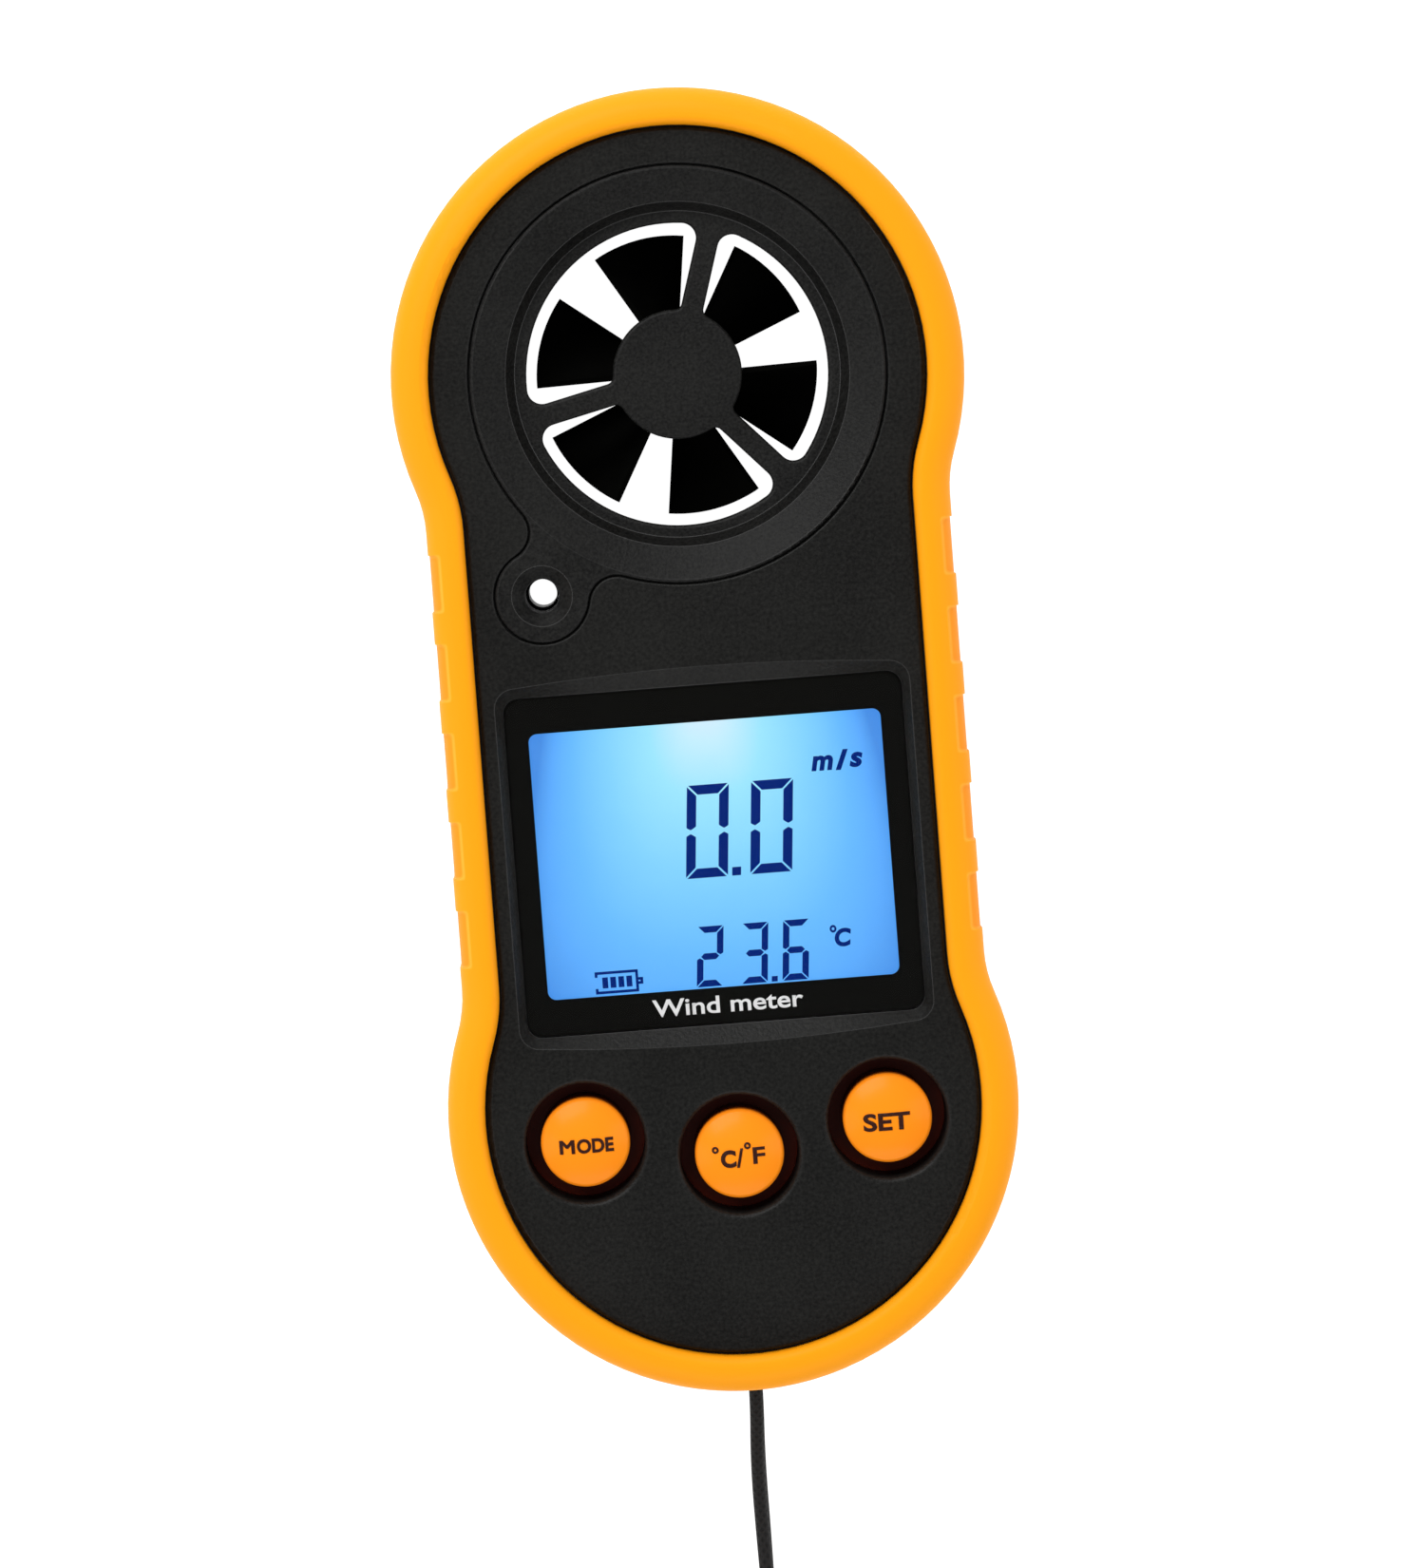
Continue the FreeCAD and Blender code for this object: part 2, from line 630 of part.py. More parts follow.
def impeller():
    """Six pitched vanes on a hub that hides behind the guard's cap."""
    hub_r = 4.3
    hub = cylinder(HUB, hub_r, BLADE_LOW_Z - 0.3, BLADE_HIGH_Z + 0.5)
    hub = hub.makeFillet(0.5, edges_at(hub, BLADE_HIGH_Z + 0.5))
    vane = blade()
    turn = 360 / BLADES
    vanes = [turned(vane, HUB, FIRST_BLADE + i * turn) for i in range(BLADES)]
    solid = fuse([hub] + vanes)
    return solid.cut(cylinder(HUB, SHAFT_R, 0, CREST_Z))


def impeller_shaft():
    """The steel arbor that the impeller is pressed onto."""
    gap = 0.05
    return cylinder(HUB, SHAFT_R, REAR_GUARD_Z + gap, SPIDER_LOW_Z - gap)


def jewel(z0):
    """One ring-shaped bearing."""
    return tube(HUB, JEWEL_R, SHAFT_R + JEWEL_CLEARANCE, z0, z0 + JEWEL_H)


# ---- display -----------------------------------------------------------------------------
def display_lens():
    """The clear cover over the display."""
    plate = rounded_block(-LENS_X, LENS_X, LENS_Y[0], LENS_Y[1], LENS_Z[0], LENS_Z[1], LENS_CORNER)
    return plate.makeChamfer(0.15, edges_at(plate, LENS_Z[1]))


def display_mask():
    """The black border behind the lens, open where the display shows."""
    sheet = rounded_block(-LENS_X, LENS_X, LENS_Y[0], LENS_Y[1], PLATE_LOW_Z, LENS_Z[0], LENS_CORNER)
    view = rounded_block(-VIEW_X, VIEW_X, VIEW_Y[0], VIEW_Y[1], PLATE_LOW_Z - 1, LENS_Z[0] + 1, 0.7)
    return sheet.cut(view)


LCD_X = 15.4
LCD_Y = (-21.55, 3.15)
LCD_Z = (14.8, LEDGE_Z)
GUIDE_Y = (-19.4, 2.7)
GUIDE_Z = (12.6, LCD_Z[0])


def lcd_glass():
    """The liquid crystal cell."""
    return box(-LCD_X, LCD_X, LCD_Y[0], LCD_Y[1], LCD_Z[0], LCD_Z[1])


def lcd_frame():
    """The frame that clamps the cell and its light guide to the circuit board."""
    wall = 0.75
    gap = 0.1
    outer = box(
        -LCD_X - gap - wall, LCD_X + gap + wall,
        LCD_Y[0] - gap - wall, LCD_Y[1] + 1.9, BOARD_TOP_Z, LEDGE_Z
    )
    inner = box(-LCD_X - gap, LCD_X + gap, LCD_Y[0] - gap, LCD_Y[1] + gap, BOARD_TOP_Z - 1, LEDGE_Z + 1)
    lamp_seat = box(-2, 2, LCD_Y[1], LCD_Y[1] + 1.25, GUIDE_Z[0] - 0.1, LCD_Z[0] - 0.3)
    return outer.cut(inner).cut(lamp_seat)


def light_guide():
    """The clear plate that spreads the lamp's light behind the cell."""
    return box(-LCD_X, LCD_X, GUIDE_Y[0], GUIDE_Y[1], GUIDE_Z[0], GUIDE_Z[1])


def backlight_lamp():
    """The side-firing lamp at the middle of the light guide's upper edge."""
    return box(-1.8, 1.8, LCD_Y[1] + 0.1, LCD_Y[1] + 1.15, GUIDE_Z[0] + 0.1, LCD_Z[0] - 0.5)


def contact_strip():
    """The layered rubber strip that joins the board's pads to the cell."""
    return box(-LCD_X + 1.4, LCD_X - 1.4, LCD_Y[0], GUIDE_Y[0] - 0.3, BOARD_TOP_Z, LCD_Z[0])


# ---- board -------------------------------------------------------------------------------
def main_board():
    """The circuit board, cut away round the fan duct, sensor hole, screws and lanyard bar."""
    board_end = 15.2
    board = body_slab(BOARD_INSET, BOARD_Z, BOARD_TOP_Z)
    board = board.cut(box(-30, 30, board_end, 60, 0, CREST_Z))
    board = board.cut(cylinder(HUB, REAR_RING_R + 1.8, 0, CREST_Z))
    board = board.cut(cylinder(SENSOR, SENSOR_TUBE_R + 0.8, 0, CREST_Z))
    for place in case_screw_places():
        board = board.cut(cylinder(place, CASE_BOSS_R + 0.4, 0, CREST_Z))
    for place in BOARD_SCREWS:
        board = board.cut(cylinder(place, SCREW_R + 0.15, 0, CREST_Z))
    block_half = POCKET_HALF + 2
    return board.cut(box(-block_half, block_half, -60, POCKET_Y + 1.8, 0, CREST_Z))


def processor_chip():
    """The processor, with its two rows of legs, under the display."""
    body = box(-1.0, 6.0, -12.0, -5.0, BOARD_TOP_Z + 0.15, BOARD_TOP_Z + 1.5)
    parts = [body.makeChamfer(0.2, edges_at(body, BOARD_TOP_Z + 1.5))]
    legs = 8
    for i in range(legs):
        y = -11.4 + i * 0.8
        parts.append(box(-2.0, -0.9, y, y + 0.35, BOARD_TOP_Z, BOARD_TOP_Z + 0.4))
        parts.append(box(5.9, 7.0, y, y + 0.35, BOARD_TOP_Z, BOARD_TOP_Z + 0.4))
    return fuse(parts)


def board_components():
    """Small surface-mounted parts and the clock crystal, as separate solids."""
    parts = []
    for i in range(5):
        x = -12.0 + i * 2.2
        parts.append(box(x, x + 1.6, -2.0, -1.2, BOARD_TOP_Z, BOARD_TOP_Z + 0.6))
        parts.append(box(x, x + 0.8, -16.6, -15.0, BOARD_TOP_Z, BOARD_TOP_Z + 0.5))
    crystal = Part.makeCylinder(1.0, 6.0, V(-11.0, -9.0, BOARD_TOP_Z + 1.0), V(1, 0, 0))
    parts.append(crystal)
    return Part.makeCompound(parts)


def blade_sensor():
    """The reflective light sensor that counts passing blades through the duct's window."""
    block = box(-1.6, 1.6, 9.6, 12.8, BOARD_TOP_Z, 11.4)
    eye = Part.makeCylinder(0.7, 1.0, V(0, 12.8, 9.6), V(0, 1, 0))
    return block.fuse(eye)


def thermistor():
    """The glass bead that senses the air in the sensor's through hole, on two leads."""
    bead_z = SEAM_Z + 1.1
    bead = Part.makeSphere(0.75, V(SENSOR.x + 1.9, SENSOR.y - 0.6, bead_z))
    lead_y = SENSOR.y - 0.6
    parts = [bead]
    for y in (lead_y - 0.3, lead_y + 0.3):
        flat = Part.makeCylinder(0.15, 3.0, V(SENSOR.x + 2.2, y, bead_z), V(1, 0, 0))
        down = Part.makeCylinder(0.15, bead_z - BOARD_TOP_Z, V(SENSOR.x + 5.1, y, BOARD_TOP_Z), V(0, 0, 1))
        parts += [flat, down]
    return fuse(parts)


def key_switch(place):
    """The snap switch under one button."""
    half = 3.0
    body = box(place.x - half, place.x + half, place.y - half, place.y + half, BOARD_TOP_Z, 9.9)
    body = body.makeChamfer(0.4, upright_edges(body))
    return body.fuse(cylinder(place, 1.5, 9.9, 10.5))


def button(place):
    """One glossy domed button: cap, retaining flange and the stem that works its switch."""
    stem_r = 1.3
    stem_low = 11.1
    rise = BUTTON_TOP_Z - BUTTON_EDGE_Z
    dome_r = (BUTTON_R**2 + rise**2) / (2 * rise)
    dome = Part.makeSphere(dome_r, V(place.x, place.y, BUTTON_TOP_Z - dome_r))
    cap = cylinder(place, BUTTON_R, BUTTON_FLANGE_Z[0], BUTTON_TOP_Z + 1)
    cap = cap.common(dome.fuse(cylinder(place, dome_r, 0, BUTTON_EDGE_Z)))
    cap = cap.makeFillet(0.45, edges_at(cap, BUTTON_EDGE_Z))
    flange = cylinder(place, BUTTON_FLANGE_R, BUTTON_FLANGE_Z[0], BUTTON_FLANGE_Z[1])
    stem = cylinder(place, stem_r, stem_low, BUTTON_FLANGE_Z[0])
    return fuse([cap, flange, stem])


# ---- battery -----------------------------------------------------------------------------
def battery_cover():
    """The round twist-off cover, with a coin slot outside and three bayonet tabs inside."""
    pad_r = 9.2
    tab_half = 12
    slot_l = 5.0
    slot_w = 0.8
    slot_deep = 0.7
    disc = cylinder(BAY, COVER_R, COVER_Z[0], COVER_Z[1])
    disc = disc.makeChamfer(0.3, edges_at(disc, COVER_Z[0]))
    parts = [disc, cylinder(BAY, pad_r, COVER_Z[1], CELL_Z[0] - 0.05)]
    rim = tube(BAY, COVER_R, COVER_R - 0.9, COVER_Z[1], TAB_Z[1])
    reach = tube(BAY, TAB_R, COVER_R - 0.9, TAB_Z[0], TAB_Z[1])
    for angle in TAB_ANGLES:
        wedge = sector(BAY, TAB_R + 2, angle, tab_half, 0, TAB_Z[1] + 1)
        parts.append(rim.common(wedge))
        parts.append(reach.common(wedge))
    cover = fuse(parts)
    slot = box(-slot_l, slot_l, BAY.y - slot_w, BAY.y + slot_w, -1, COVER_Z[0] + slot_deep)
    ends = [e for e in slot.Edges if e.BoundBox.XLength + e.BoundBox.YLength < 1e-4]
    return cover.cut(slot.makeFillet(0.7, ends))


def battery_gasket():
    """The rubber ring round the cover's inner pad."""
    ring_r = 10.0
    thick = 0.45
    return Part.makeTorus(ring_r, thick, V(BAY.x, BAY.y, COVER_Z[1] + thick))


def coin_cell():
    """The 20 x 3.2 coin cell, its smaller pole towards the board."""
    pole_r = 8.6
    can = cylinder(BAY, CELL_R, CELL_Z[0], CELL_Z[1] - 0.4)
    can = can.makeFillet(0.3, edges_at(can, CELL_Z[0]))
    return can.fuse(cylinder(BAY, pole_r, CELL_Z[1] - 0.4, CELL_Z[1]))


def cell_spring():
    """The leaf contact between the cell's smaller pole and the board."""
    foot = box(-1.5, 1.5, BAY.y + 2.0, BAY.y + 5.0, BOARD_Z - 0.25, BOARD_Z)
    leaf_low = CELL_Z[1] + 0.02
    leaf = Part.makePolygon([
        V(-1.5, BAY.y + 2.1, BOARD_Z),
        V(-1.5, BAY.y + 2.1, BOARD_Z - 0.25),
        V(-1.5, BAY.y - 3.2, leaf_low),
        V(-1.5, BAY.y - 3.6, leaf_low + 0.25),
        V(-1.5, BAY.y + 2.1, BOARD_Z),
    ])
    return fuse([foot, Part.Face(leaf).extrude(V(3, 0, 0))])


def cell_side_contact():
    """The strip that stands down from the board against the cell's can."""
    strip = box(CELL_R + 0.05, CELL_R + 0.35, BAY.y - 2, BAY.y + 2, TAB_Z[1] + 1.4, BOARD_Z)
    foot = box(CELL_R + 0.05, CELL_R + 3, BAY.y - 2, BAY.y + 2, BOARD_Z - 0.3, BOARD_Z)
    return strip.fuse(foot).removeSplitter()


# ---- fasteners ---------------------------------------------------------------------------
def case_screws():
    """Four long screws from the back into the front shell."""
    return Part.makeCompound([screw(p, 0.5, 2.0, PLATE_LOW_Z - 3.5) for p in case_screw_places()])


def board_screws():
    """Three short screws from below the board into the front shell."""
    return Part.makeCompound([screw(p, BOARD_Z - 1.2, BOARD_Z, PLATE_LOW_Z - 4) for p in BOARD_SCREWS])


# ---- lanyard -----------------------------------------------------------------------------
def rounded_route(points):
    """A wire of straight runs joined by tangent arcs as large as the runs allow, with its radii."""
    runs = [b - a for a, b in zip(points, points[1:])]
    edges = []
    radii = []
    start = points[0]
    for before, after, corner in zip(runs, runs[1:], points[1:]):
        half_turn = before.getAngle(after) / 2
        back = 0.45 * min(before.Length, after.Length)
        radii.append(back / math.tan(half_turn))
        into = V(before).normalize()
        out = V(after).normalize()
        first = corner - into * back
        last = corner + out * back
        inward = (out - into).normalize()
        middle = corner + inward * (radii[-1] / math.cos(half_turn) - radii[-1])
        edges.append(line(start, first))
        edges.append(arc(first, middle, last))
        start = last
    edges.append(line(start, points[-1]))
    return Part.Wire(edges), radii


def lanyard_loop():
    """The thin braided loop from the crimp round the case's bar and back."""
    path, radii = rounded_route([V(*p) for p in LOOP_ROUTE])
    print("lanyard_loop radii:", [round(r, 2) for r in radii], "length:", round(path.Length, 1))
    first = path.Edges[0]
    start = first.valueAt(first.FirstParameter)
    ring = Part.Wire(Part.makeCircle(LOOP_D / 2, start, first.tangentAt(first.FirstParameter)))
    solid = path.makePipeShell([ring], True, False)
    expected = math.pi * (LOOP_D / 2) ** 2 * path.Length
    print("lanyard_loop volume:", round(solid.Volume, 2), "expected:", round(expected, 2))
    return solid


def lanyard_crimp():
    """The sleeve that joins the thin loop to the wrist cord."""
    block = box(-CRIMP_HALF, CRIMP_HALF, CRIMP_Y[0], CRIMP_Y[1], 0, CRIMP_H)
    along = [e for e in block.Edges if e.BoundBox.YLength > 1]
    block = block.makeFillet(1.4, along)
    ends = [e for e in block.Edges if e.BoundBox.YLength < 1e-4]
    return block.makeChamfer(0.35, ends)


def wrist_cord_hank():
    """The wrist cord's folded hank, as the outer shape of its runs and end loops."""
    waist_half = TIE_HALF - TIE_WALL - 0.1
    far_y = HANK_FAR.y + 8
    near_y = HANK_NEAR.y - 8
    spread = 1.2
    outline = Part.makePolygon([
        V(-waist_half, near_y + spread * 3, 0),
        V(-waist_half, far_y - spread * 3, 0),
        V(waist_half, far_y - spread * 3, 0),
        V(waist_half, near_y + spread * 3, 0),
        V(-waist_half, near_y + spread * 3, 0),
    ])
    waist = Part.Face(outline).extrude(V(0, 0, HANK_H))
    far = cylinder(HANK_FAR, HANK_FAR_R, 0, HANK_H)
    near = cylinder(HANK_NEAR, HANK_NEAR_R, 0, HANK_H)
    crossing = box(-3.2, 4.2, -91, -84, HANK_H - 1, 2 * HANK_H)
    lead = box(-2.4, 2.4, -88, CRIMP_Y[0], 0.3, 3.2)
    solid = fuse([waist, far, near, crossing, lead])
    solid = solid.cut(box(-20, 20, TIE_Y[0], TIE_Y[1], -1, TIE_H + 1))
    core = box(-waist_half, waist_half, TIE_Y[0] - 1, TIE_Y[1] + 1, TIE_WALL, TIE_H - TIE_WALL - 0.1)
    return fuse([solid, core])


def hank_tie():
    """The soft band that holds the hank's middle."""
    outer = box(-TIE_HALF, TIE_HALF, TIE_Y[0], TIE_Y[1], 0, TIE_H)
    outer = outer.makeFillet(1.0, [e for e in outer.Edges if e.BoundBox.YLength > 1])
    half = TIE_HALF - TIE_WALL
    inner = box(-half, half, TIE_Y[0] - 1, TIE_Y[1] + 1, TIE_WALL, TIE_H - TIE_WALL)
    return outer.cut(inner)


# ---- the assembly ------------------------------------------------------------------------
def assembly():
    """Every node's name and shape."""
    nodes = {
        "front_case": front_case(),
        "rear_case": rear_case(),
        "bumper": bumper(),
        "fan_guard_front": fan_guard_front(),
        "fan_guard_rear": fan_guard_rear(),
        "fan_duct": fan_duct(),
        "impeller": impeller(),
        "impeller_shaft": impeller_shaft(),
        "front_jewel": jewel(SPIDER_LOW_Z - JEWEL_H),
        "rear_jewel": jewel(REAR_GUARD_Z),
        "display_lens": display_lens(),
        "display_mask": display_mask(),
        "lcd_glass": lcd_glass(),
        "lcd_frame": lcd_frame(),
        "light_guide": light_guide(),
        "backlight_lamp": backlight_lamp(),
        "contact_strip": contact_strip(),
        "main_board": main_board(),
        "processor_chip": processor_chip(),
        "board_components": board_components(),
        "blade_sensor": blade_sensor(),
        "thermistor": thermistor(),
        "battery_cover": battery_cover(),
        "battery_gasket": battery_gasket(),
        "coin_cell": coin_cell(),
        "cell_spring": cell_spring(),
        "cell_side_contact": cell_side_contact(),
        "case_screws": case_screws(),
        "board_screws": board_screws(),
        "lanyard_loop": lanyard_loop(),
        "lanyard_crimp": lanyard_crimp(),
        "wrist_cord_hank": wrist_cord_hank(),
        "hank_tie": hank_tie(),
    }
    for name, place in BUTTONS.items():
        nodes[name + "_button"] = button(place)
        nodes[name + "_switch"] = key_switch(place)
    return nodes


os.makedirs("parts", exist_ok=True)
for node, shape in assembly().items():
    shape.exportStep("parts/" + node + ".step")
    print(node, "valid" if shape.isValid() else "INVALID", len(shape.Solids), round(shape.Volume, 1))
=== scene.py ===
import bmesh
import bpy
import json
import math
from mathutils import Matrix, Vector


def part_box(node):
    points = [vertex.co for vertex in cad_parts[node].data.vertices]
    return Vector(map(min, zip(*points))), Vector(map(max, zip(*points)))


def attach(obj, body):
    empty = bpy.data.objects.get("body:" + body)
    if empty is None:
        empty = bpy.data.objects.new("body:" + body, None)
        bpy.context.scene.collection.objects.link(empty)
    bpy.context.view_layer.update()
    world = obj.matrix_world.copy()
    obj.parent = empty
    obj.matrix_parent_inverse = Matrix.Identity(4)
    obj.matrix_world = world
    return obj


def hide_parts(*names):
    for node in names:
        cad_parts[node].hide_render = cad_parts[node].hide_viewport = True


# The weather meter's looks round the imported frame. Metres, in the frame's own axes: the meter
# lies on its back, +Y towards the fan head and +Z out of its face.

MM = 0.001

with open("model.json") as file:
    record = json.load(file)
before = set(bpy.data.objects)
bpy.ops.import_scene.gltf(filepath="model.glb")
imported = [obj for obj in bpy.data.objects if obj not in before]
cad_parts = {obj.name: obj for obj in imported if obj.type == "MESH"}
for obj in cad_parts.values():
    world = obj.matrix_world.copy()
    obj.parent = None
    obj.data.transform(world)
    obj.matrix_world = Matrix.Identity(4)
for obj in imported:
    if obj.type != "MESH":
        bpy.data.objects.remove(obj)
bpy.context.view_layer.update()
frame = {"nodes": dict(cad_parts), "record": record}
nodes = frame["nodes"]
scene = bpy.context.scene
scene.view_settings.view_transform = "Standard"


# ---- places read from the frame ----------------------------------------------------------
def centre(node):
    """The middle of a node's box."""
    low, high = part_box(node)
    return (low + high) / 2


LCD_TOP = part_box("lcd_glass")[1].z
MASK_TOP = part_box("display_mask")[1].z


def at(x, y, z):
    """A point given in millimetres."""
    return Vector((x, y, z)) * MM


# ---- camera ------------------------------------------------------------------------------
VIEW_HEIGHT = 125.75 * MM      # what the frame's long side spans at the face
VIEW_FROM = at(-6.0, 27.0, 600.0)
VIEW_AT = at(0.28, -3.35, 19.0)
VIEW_ROLL = math.radians(4.36)


def make_camera():
    """A long lens almost square to the face, a little towards the head."""
    data = bpy.data.cameras.new("camera")
    camera = bpy.data.objects.new("camera", data)
    scene.collection.objects.link(camera)
    back = (VIEW_FROM - VIEW_AT).normalized()
    up = Vector((math.sin(VIEW_ROLL), math.cos(VIEW_ROLL), 0))
    right = up.cross(back).normalized()
    up = back.cross(right)
    turn = Matrix((right, up, back)).transposed().to_4x4()
    camera.matrix_world = Matrix.Translation(VIEW_FROM) @ turn
    data.lens = data.sensor_width * (VIEW_FROM - VIEW_AT).length / VIEW_HEIGHT
    data.clip_start = 0.01
    data.clip_end = 20
    scene.camera = camera


make_camera()


# ---- materials ---------------------------------------------------------------------------
class Shader:
    """A procedural material under construction: its nodes, and short ways to add and join them."""

    def __init__(self, name):
        self.material = bpy.data.materials.new(name)
        self.material.use_nodes = True
        self.tree = self.material.node_tree
        self.surface = self.tree.nodes["Principled BSDF"]
        self.place = self.tree.nodes.new("ShaderNodeTexCoord").outputs["Object"]

    def link(self, source, target):
        self.tree.links.new(source, target)

    def set(self, **values):
        """Sets the surface's own sockets, such as coat_weight=0.5."""
        for key, value in values.items():
            socket = self.surface.inputs[key.replace("_", " ").title().replace("Ior", "IOR")]
            socket.default_value = value

    def node(self, kind, **settings):
        made = self.tree.nodes.new("ShaderNode" + kind)
        for key, value in settings.items():
            setattr(made, key, value)
        return made

    def noise(self, scale, detail=2.0, rough=0.5, place=None):
        made = self.node("TexNoise")
        made.inputs["Scale"].default_value = scale
        made.inputs["Detail"].default_value = detail
        made.inputs["Roughness"].default_value = rough
        self.link(place or self.place, made.inputs["Vector"])
        return made.outputs["Fac"]

    def math(self, operation, a, b=0.0, c=0.0):
        made = self.node("Math", operation=operation)
        for socket, value in zip(made.inputs, (a, b, c)):
            if isinstance(value, (int, float)):
                socket.default_value = value
            else:
                self.link(value, socket)
        return made.outputs[0]

    def ramp(self, fac, stops):
        """Colours along a factor: stops are (place, colour)."""
        made = self.node("ValToRGB")
        points = made.color_ramp.elements
        while len(points) < len(stops):
            points.new(0.5)
        for point, (where, colour) in zip(points, stops):
            point.position = where
            point.color = (*colour, 1)
        self.link(fac, made.inputs["Fac"])
        return made.outputs["Color"]

    def range(self, fac, low, high):
        made = self.node("MapRange")
        made.inputs["To Min"].default_value = low
        made.inputs["To Max"].default_value = high
        self.link(fac, made.inputs["Value"])
        return made.outputs["Result"]

    def bump(self, height, distance, strength=1.0):
        made = self.node("Bump")
        made.inputs["Distance"].default_value = distance
        made.inputs["Strength"].default_value = strength
        self.link(height, made.inputs["Height"])
        self.link(made.outputs["Normal"], self.surface.inputs["Normal"])

    def colour(self, source):
        self.link(source, self.surface.inputs["Base Color"])

    def rough(self, source):
        self.link(source, self.surface.inputs["Roughness"])


def shade(colour, factor):
    """A colour made darker or lighter."""
    return tuple(min(1.0, c * factor) for c in colour)


def painted_edge_highlight(s, colour, grey):
    """Mixes a pale grey painted highlight into a finish's colour along the part's edges, where a rounded
    edge would catch the light.
    """
    reach = 0.14 * MM
    contrast = 8.0
    rounded = s.node("Bevel", samples=6)
    rounded.inputs["Radius"].default_value = reach
    flat = s.node("NewGeometry").outputs["Normal"]
    product = s.node("VectorMath", operation="DOT_PRODUCT")
    s.link(rounded.outputs["Normal"], product.inputs[0])
    s.link(flat, product.inputs[1])
    turned = s.math("MULTIPLY", s.math("SUBTRACT", 1.0, product.outputs["Value"]), contrast)
    highlight_amount = s.math("MINIMUM", s.math("MAXIMUM", turned, 0.0), 1.0)
    mix = s.node("MixRGB")
    s.link(highlight_amount, mix.inputs["Fac"])
    s.link(colour, mix.inputs["Color1"])
    mix.inputs["Color2"].default_value = (grey, grey, grey, 1)
    return mix.outputs["Color"]


def moulded(name, colour, rough, grain=0.25, depth=0.004, mottle=0.12, edge=0.0, **values):
    """Moulded plastic or rubber: a fine grain of grain mm, mottling, uneven gloss, and a painted highlight
    along the edges.
    """
    s = Shader(name)
    fine = s.noise(1 / (grain * MM), detail=3.0, rough=0.6)
    broad = s.noise(1 / (9 * MM), detail=4.0)
    mixed = s.math("MULTIPLY_ADD", fine, 0.75, s.math("MULTIPLY", broad, 0.25))
    speckle = s.ramp(mixed, [(0.35, shade(colour, 1 - mottle)), (0.65, shade(colour, 1 + mottle))])
    # Painted highlight: a pale grey line along the edges, where rounded edges would catch the light.
    if edge:
        speckle = painted_edge_highlight(s, speckle, edge)
    s.colour(speckle)
    s.rough(s.range(mixed, rough * 0.85, min(1.0, rough * 1.15)))
    s.bump(fine, depth * MM)
    s.set(**values)
    return s.material


def bumper_finish():
    """Soft orange rubber. Each finger flute is painted with a pale highlight round its edge and with
    painted shade, a slightly darker orange, on its floor.
    """
    s = Shader("bumper_rubber")
    pitch = 7.15 * MM
    half_length = 2.3 * MM
    inner_x = 20.1 * MM
    last_end = 2.5 * pitch
    corner = 0.5 * MM
    rubber = (0.95, 0.34, 0.004)
    rim_highlight = (0.97, 0.43, 0.035)
    floor_shade = (0.95, 0.3, 0.008)
    split = s.node("SeparateXYZ")
    s.link(s.place, split.inputs["Vector"])
    step = s.math("PINGPONG", s.math("ADD", split.outputs["Y"], 10 * pitch), pitch / 2)
    from_end = s.math("SUBTRACT", half_length, step)
    from_inside = s.math("SUBTRACT", s.math("ABSOLUTE", split.outputs["X"]), inner_x)
    from_last = s.math("SUBTRACT", last_end, s.math("ABSOLUTE", split.outputs["Y"]))
    inside = s.math("SMOOTH_MIN", from_end, from_inside, corner)
    inside = s.math("MINIMUM", inside, from_last)
    across_rim = s.math("MULTIPLY_ADD", inside, 1 / MM, 0.5)
    # Painted light: a pale highlight round each flute's edge and painted shade on the flute's floor.
    s.colour(s.ramp(across_rim, [(0.4, rubber), (0.53, rim_highlight), (0.58, rim_highlight), (0.74, floor_shade)]))
    grain = s.noise(1 / (0.35 * MM), detail=3.0, rough=0.6)
    s.rough(s.range(grain, 0.43, 0.57))
    s.bump(grain, 0.004 * MM)
    s.set(specular_ior_level=0.11)
    return s.material


def button_finish():
    """Glossy orange key tops, painted with shade that darkens down the cap's edge to a near-black collar
    low in its well.
    """
    s = Shader("button_plastic")
    split = s.node("SeparateXYZ")
    s.link(s.place, split.inputs["Vector"])
    smudge_and_shade_noise = s.noise(1 / (0.8 * MM), detail=3.0, rough=0.6)
    height = s.math("MULTIPLY_ADD", smudge_and_shade_noise, 0.3 * MM, split.outputs["Z"])
    low, high = 14.0 * MM, 18.6 * MM
    up = s.math("MULTIPLY_ADD", height, 1 / (high - low), -low / (high - low))
    # Painted shade: the colour darkens from the dome's top down the cap's edge to near black on the collar
    # in the well.
    s.colour(s.ramp(up, [
        (0.0, (0.16, 0.02, 0.008)),
        (0.4, (0.3, 0.04, 0.008)),
        (0.88, (0.8, 0.18, 0.008)),
        (1.0, (0.98, 0.27, 0.008)),
    ]))
    s.rough(s.range(smudge_and_shade_noise, 0.26, 0.34))
    s.bump(smudge_and_shade_noise, 0.001 * MM)
    s.set(specular_ior_level=0.08, coat_weight=0.03, coat_roughness=0.12)
    return s.material


def metal(name, colour, rough, stretch=(1, 1, 12)):
    """Turned or drawn metal with fine lines and uneven gloss."""
    s = Shader(name)
    scaled = s.node("Mapping")
    scaled.inputs["Scale"].default_value = stretch
    s.link(s.place, scaled.inputs["Vector"])
    lines = s.noise(1 / (0.8 * MM), detail=4.0, place=scaled.outputs["Vector"])
    s.colour(s.ramp(lines, [(0.3, shade(colour, 0.85)), (0.7, shade(colour, 1.1))]))
    s.rough(s.range(lines, rough * 0.7, rough * 1.3))
    s.bump(lines, 0.003 * MM)
    s.set(metallic=1.0)
    return s.material


